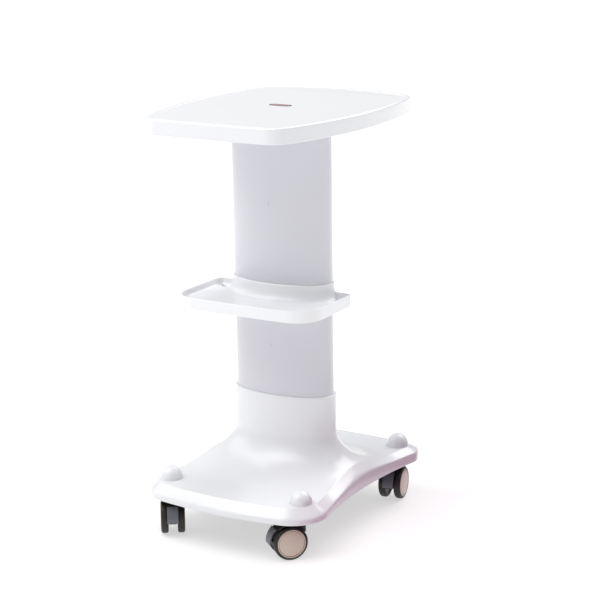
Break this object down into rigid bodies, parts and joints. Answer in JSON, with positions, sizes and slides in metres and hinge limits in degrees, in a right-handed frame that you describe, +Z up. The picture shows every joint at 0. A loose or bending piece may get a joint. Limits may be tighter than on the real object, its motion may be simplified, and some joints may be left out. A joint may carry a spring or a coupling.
{
  "type": "rolling salon trolley",
  "caption": "Rolling salon trolley with a bowed flat top plate, an oval column, a small tray with a raised rim, and a waisted base on braked twin-wheel casters.",
  "frame": {"origin": "on the floor directly under the column's axis", "axes": "+Z up, -Y towards the front, where the tray is, +X to the right of someone facing -Y to +Y"},
  "size_m": [0.375, 0.4864, 0.78],
  "materials": {
    "white_shell": "glossy moulded ABS, white",
    "white_column": "satin moulded ABS, white with a cool cast",
    "badge": "satin moulded oval badge, dusty rose",
    "zinc_steel": "zinc plated",
    "black_steel": "powder coated, dark grey",
    "caster_plastic": "fine-grained nylon, near black",
    "brake_plastic": "satin nylon, grey",
    "tyre": "smooth dark tread",
    "wheel_disc": "satin champagne plastic"
  },
  "bodies": {
    "trolley_frame": {"top_shell": "white_shell", "top_underpanel": "white_shell", "top_screws": "zinc_steel", "top_badge": "badge", "head_plate": "black_steel", "head_bolts": "zinc_steel", "steel_post": "black_steel", "foot_plate": "black_steel", "foot_bolts": "zinc_steel", "column_upper": "white_column", "column_lower": "white_column", "column_screws": "white_shell", "shelf_tray": "white_shell", "tray_bracket": "black_steel", "tray_screws": "zinc_steel", "base_cover": "white_shell", "base_chassis": "black_steel", "caster_nuts": "zinc_steel", "caster_caps": "white_shell", "fl_stem": "zinc_steel", "fr_stem": "zinc_steel", "br_stem": "zinc_steel", "bl_stem": "zinc_steel"},
    "fl_caster": {"fl_housing": "caster_plastic", "fl_axle": "zinc_steel"},
    "fl_brake": {"fl_pedal": "brake_plastic"},
    "fl_wheel_a": {"fl_tyre_a": "tyre", "fl_core_a": "caster_plastic", "fl_disc_a": "wheel_disc"},
    "fl_wheel_b": {"fl_tyre_b": "tyre", "fl_core_b": "caster_plastic", "fl_disc_b": "wheel_disc"},
    "fr_caster": {"fr_housing": "caster_plastic", "fr_axle": "zinc_steel"},
    "fr_brake": {"fr_pedal": "brake_plastic"},
    "fr_wheel_a": {"fr_tyre_a": "tyre", "fr_core_a": "caster_plastic", "fr_disc_a": "wheel_disc"},
    "fr_wheel_b": {"fr_tyre_b": "tyre", "fr_core_b": "caster_plastic", "fr_disc_b": "wheel_disc"},
    "br_caster": {"br_housing": "caster_plastic", "br_axle": "zinc_steel"},
    "br_brake": {"br_pedal": "brake_plastic"},
    "br_wheel_a": {"br_tyre_a": "tyre", "br_core_a": "caster_plastic", "br_disc_a": "wheel_disc"},
    "br_wheel_b": {"br_tyre_b": "tyre", "br_core_b": "caster_plastic", "br_disc_b": "wheel_disc"},
    "bl_caster": {"bl_housing": "caster_plastic", "bl_axle": "zinc_steel"},
    "bl_brake": {"bl_pedal": "brake_plastic"},
    "bl_wheel_a": {"bl_tyre_a": "tyre", "bl_core_a": "caster_plastic", "bl_disc_a": "wheel_disc"},
    "bl_wheel_b": {"bl_tyre_b": "tyre", "bl_core_b": "caster_plastic", "bl_disc_b": "wheel_disc"}
  },
  "joints": [
    {"name": "fl_swivel", "type": "hinge", "parent": "trolley_frame", "child": "fl_caster", "pos_m": [-0.1405, -0.181, 0.06], "axis": [0, 0, 1], "continuous": true},
    {"name": "fl_wheel_a_spin", "type": "hinge", "parent": "fl_caster", "child": "fl_wheel_a", "pos_m": [-0.12559, -0.2023, 0.0315], "axis": [0.8192, 0.5736, 0], "continuous": true},
    {"name": "fl_wheel_b_spin", "type": "hinge", "parent": "fl_caster", "child": "fl_wheel_b", "pos_m": [-0.12559, -0.2023, 0.0315], "axis": [0.8192, 0.5736, 0], "continuous": true},
    {"name": "fl_brake_press", "type": "hinge", "parent": "fl_caster", "child": "fl_brake", "pos_m": [-0.12215, -0.20721, 0.057], "axis": [0.8192, 0.5736, 0], "range_deg": [0, 7.5]},
    {"name": "fr_swivel", "type": "hinge", "parent": "trolley_frame", "child": "fr_caster", "pos_m": [0.1405, -0.181, 0.06], "axis": [0, 0, 1], "continuous": true},
    {"name": "fr_wheel_a_spin", "type": "hinge", "parent": "fr_caster", "child": "fr_wheel_a", "pos_m": [0.12379, -0.20092, 0.0315], "axis": [0.766, -0.6428, 0], "continuous": true},
    {"name": "fr_wheel_b_spin", "type": "hinge", "parent": "fr_caster", "child": "fr_wheel_b", "pos_m": [0.12379, -0.20092, 0.0315], "axis": [0.766, -0.6428, 0], "continuous": true},
    {"name": "fr_brake_press", "type": "hinge", "parent": "fr_caster", "child": "fr_brake", "pos_m": [0.11993, -0.20551, 0.057], "axis": [0.766, -0.6428, 0], "range_deg": [0, 7.5]},
    {"name": "br_swivel", "type": "hinge", "parent": "trolley_frame", "child": "br_caster", "pos_m": [0.1405, 0.184, 0.06], "axis": [0, 0, 1], "continuous": true},
    {"name": "br_wheel_a_spin", "type": "hinge", "parent": "br_caster", "child": "br_wheel_a", "pos_m": [0.14501, 0.1584, 0.0315], "axis": [0.9848, 0.1736, 0], "continuous": true},
    {"name": "br_wheel_b_spin", "type": "hinge", "parent": "br_caster", "child": "br_wheel_b", "pos_m": [0.14501, 0.1584, 0.0315], "axis": [0.9848, 0.1736, 0], "continuous": true},
    {"name": "br_brake_press", "type": "hinge", "parent": "br_caster", "child": "br_brake", "pos_m": [0.14606, 0.15249, 0.057], "axis": [0.9848, 0.1736, 0], "range_deg": [0, 7.5]},
    {"name": "bl_swivel", "type": "hinge", "parent": "trolley_frame", "child": "bl_caster", "pos_m": [-0.1405, 0.184, 0.06], "axis": [0, 0, 1], "continuous": true},
    {"name": "bl_wheel_a_spin", "type": "hinge", "parent": "bl_caster", "child": "bl_wheel_a", "pos_m": [-0.14939, 0.15957, 0.0315], "axis": [0.9397, -0.342, 0], "continuous": true},
    {"name": "bl_wheel_b_spin", "type": "hinge", "parent": "bl_caster", "child": "bl_wheel_b", "pos_m": [-0.14939, 0.15957, 0.0315], "axis": [0.9397, -0.342, 0], "continuous": true},
    {"name": "bl_brake_press", "type": "hinge", "parent": "bl_caster", "child": "bl_brake", "pos_m": [-0.15144, 0.15393, 0.057], "axis": [0.9397, -0.342, 0], "range_deg": [0, 7.5]}
  ]
}
